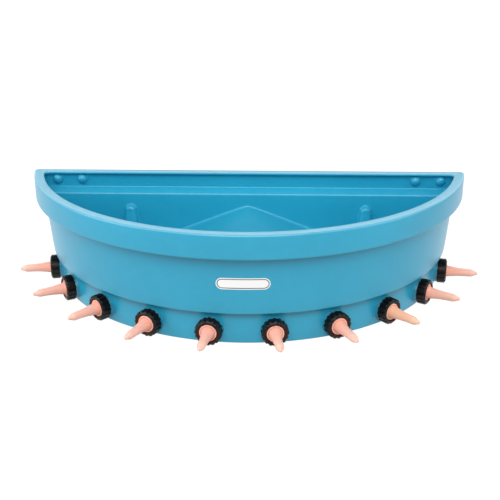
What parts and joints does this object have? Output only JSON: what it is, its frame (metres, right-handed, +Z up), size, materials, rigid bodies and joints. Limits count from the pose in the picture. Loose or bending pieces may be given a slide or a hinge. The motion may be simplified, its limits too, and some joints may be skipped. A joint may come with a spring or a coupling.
{
  "type": "multi-teat milk feeder",
  "caption": "Half-moon moulded milk trough with a stepped wall and conical floor, and rubber teats held on threaded stems by ribbed union nuts, for feeding young stock.",
  "frame": {"origin": "on the plane it stands on, under the middle of the whole feeder's box, teats included", "axes": "+X along the straight back, to the right as seen from the teats; +Y out of the flat back; +Z up"},
  "size_m": [1.1402, 0.5066, 0.27],
  "materials": {
    "blue_plastic": "rotomoulded polyethylene, satin, sky blue",
    "black_plastic": "moulded black polypropylene",
    "nut_plastic": "moulded black polypropylene, semi-gloss",
    "teat_rubber": "soft pink rubber, slightly translucent",
    "seal_rubber": "black sealing rubber",
    "brass": "turned brass"
  },
  "bodies": {
    "trough": {"trough_body": "blue_plastic", "spigot_1": "black_plastic", "spigot_2": "black_plastic", "spigot_3": "black_plastic", "spigot_4": "black_plastic", "spigot_5": "black_plastic", "spigot_6": "black_plastic", "spigot_7": "black_plastic", "spigot_8": "black_plastic", "spigot_9": "black_plastic", "spigot_10": "black_plastic", "gasket_1": "seal_rubber", "gasket_2": "seal_rubber", "gasket_3": "seal_rubber", "gasket_4": "seal_rubber", "gasket_5": "seal_rubber", "gasket_6": "seal_rubber", "gasket_7": "seal_rubber", "gasket_8": "seal_rubber", "gasket_9": "seal_rubber", "gasket_10": "seal_rubber", "bracket_insert_1": "brass", "bracket_insert_2": "brass", "bracket_insert_3": "brass", "bracket_insert_4": "brass"},
    "teat_1": {"teat_1": "teat_rubber"},
    "nut_1": {"teat_nut_1": "nut_plastic"},
    "teat_2": {"teat_2": "teat_rubber"},
    "nut_2": {"teat_nut_2": "nut_plastic"},
    "teat_3": {"teat_3": "teat_rubber"},
    "nut_3": {"teat_nut_3": "nut_plastic"},
    "teat_4": {"teat_4": "teat_rubber"},
    "nut_4": {"teat_nut_4": "nut_plastic"},
    "teat_5": {"teat_5": "teat_rubber"},
    "nut_5": {"teat_nut_5": "nut_plastic"},
    "teat_6": {"teat_6": "teat_rubber"},
    "nut_6": {"teat_nut_6": "nut_plastic"},
    "teat_7": {"teat_7": "teat_rubber"},
    "nut_7": {"teat_nut_7": "nut_plastic"},
    "teat_8": {"teat_8": "teat_rubber"},
    "nut_8": {"teat_nut_8": "nut_plastic"},
    "teat_9": {"teat_9": "teat_rubber"},
    "nut_9": {"teat_nut_9": "nut_plastic"},
    "teat_10": {"teat_10": "teat_rubber"},
    "nut_10": {"teat_nut_10": "nut_plastic"}
  },
  "joints": [
    {"name": "teat_1_travel", "type": "slide", "parent": "trough", "child": "teat_1", "axis": [-0.9804, -0.1968, 0], "range_m": [0, 0.0091]},
    {"name": "nut_1_turn", "type": "hinge", "parent": "teat_1", "child": "nut_1", "pos_m": [-0.47459, 0.18644, 0.034], "axis": [-0.9804, -0.1968, 0], "range_deg": [0, 1080]},
    {"name": "teat_2_travel", "type": "slide", "parent": "trough", "child": "teat_2", "axis": [-0.8761, -0.4821, 0], "range_m": [0, 0.0091]},
    {"name": "nut_2_turn", "type": "hinge", "parent": "teat_2", "child": "nut_2", "pos_m": [-0.41458, 0.06053, 0.034], "axis": [-0.8761, -0.4821, 0], "range_deg": [0, 1080]},
    {"name": "teat_3_travel", "type": "slide", "parent": "trough", "child": "teat_3", "axis": [-0.691, -0.7228, 0], "range_m": [0, 0.0091]},
    {"name": "nut_3_turn", "type": "hinge", "parent": "teat_3", "child": "nut_3", "pos_m": [-0.32198, -0.04378, 0.034], "axis": [-0.691, -0.7228, 0], "range_deg": [0, 1080]},
    {"name": "teat_4_travel", "type": "slide", "parent": "trough", "child": "teat_4", "axis": [-0.4422, -0.8969, 0], "range_m": [0, 0.0091]},
    {"name": "nut_4_turn", "type": "hinge", "parent": "teat_4", "child": "nut_4", "pos_m": [-0.20405, -0.11827, 0.034], "axis": [-0.4422, -0.8969, 0], "range_deg": [0, 1080]},
    {"name": "teat_5_travel", "type": "slide", "parent": "trough", "child": "teat_5", "axis": [-0.1526, -0.9883, 0], "range_m": [0, 0.0091]},
    {"name": "nut_5_turn", "type": "hinge", "parent": "teat_5", "child": "nut_5", "pos_m": [-0.07008, -0.15709, 0.034], "axis": [-0.1526, -0.9883, 0], "range_deg": [0, 1080]},
    {"name": "teat_6_travel", "type": "slide", "parent": "trough", "child": "teat_6", "axis": [0.1526, -0.9883, 0], "range_m": [0, 0.0091]},
    {"name": "nut_6_turn", "type": "hinge", "parent": "teat_6", "child": "nut_6", "pos_m": [0.07008, -0.15709, 0.034], "axis": [0.1526, -0.9883, 0], "range_deg": [0, 1080]},
    {"name": "teat_7_travel", "type": "slide", "parent": "trough", "child": "teat_7", "axis": [0.4422, -0.8969, 0], "range_m": [0, 0.0091]},
    {"name": "nut_7_turn", "type": "hinge", "parent": "teat_7", "child": "nut_7", "pos_m": [0.20405, -0.11827, 0.034], "axis": [0.4422, -0.8969, 0], "range_deg": [0, 1080]},
    {"name": "teat_8_travel", "type": "slide", "parent": "trough", "child": "teat_8", "axis": [0.691, -0.7228, 0], "range_m": [0, 0.0091]},
    {"name": "nut_8_turn", "type": "hinge", "parent": "teat_8", "child": "nut_8", "pos_m": [0.32198, -0.04378, 0.034], "axis": [0.691, -0.7228, 0], "range_deg": [0, 1080]},
    {"name": "teat_9_travel", "type": "slide", "parent": "trough", "child": "teat_9", "axis": [0.8761, -0.4821, 0], "range_m": [0, 0.0091]},
    {"name": "nut_9_turn", "type": "hinge", "parent": "teat_9", "child": "nut_9", "pos_m": [0.41458, 0.06053, 0.034], "axis": [0.8761, -0.4821, 0], "range_deg": [0, 1080]},
    {"name": "teat_10_travel", "type": "slide", "parent": "trough", "child": "teat_10", "axis": [0.9804, -0.1968, 0], "range_m": [0, 0.0091]},
    {"name": "nut_10_turn", "type": "hinge", "parent": "teat_10", "child": "nut_10", "pos_m": [0.47459, 0.18644, 0.034], "axis": [0.9804, -0.1968, 0], "range_deg": [0, 1080]}
  ],
  "couplings": [
    {"joint": "teat_1_travel", "follows": "nut_1_turn", "m_per_rad": 0.00047746},
    {"joint": "teat_2_travel", "follows": "nut_2_turn", "m_per_rad": 0.00047746},
    {"joint": "teat_3_travel", "follows": "nut_3_turn", "m_per_rad": 0.00047746},
    {"joint": "teat_4_travel", "follows": "nut_4_turn", "m_per_rad": 0.00047746},
    {"joint": "teat_5_travel", "follows": "nut_5_turn", "m_per_rad": 0.00047746},
    {"joint": "teat_6_travel", "follows": "nut_6_turn", "m_per_rad": 0.00047746},
    {"joint": "teat_7_travel", "follows": "nut_7_turn", "m_per_rad": 0.00047746},
    {"joint": "teat_8_travel", "follows": "nut_8_turn", "m_per_rad": 0.00047746},
    {"joint": "teat_9_travel", "follows": "nut_9_turn", "m_per_rad": 0.00047746},
    {"joint": "teat_10_travel", "follows": "nut_10_turn", "m_per_rad": 0.00047746}
  ]
}
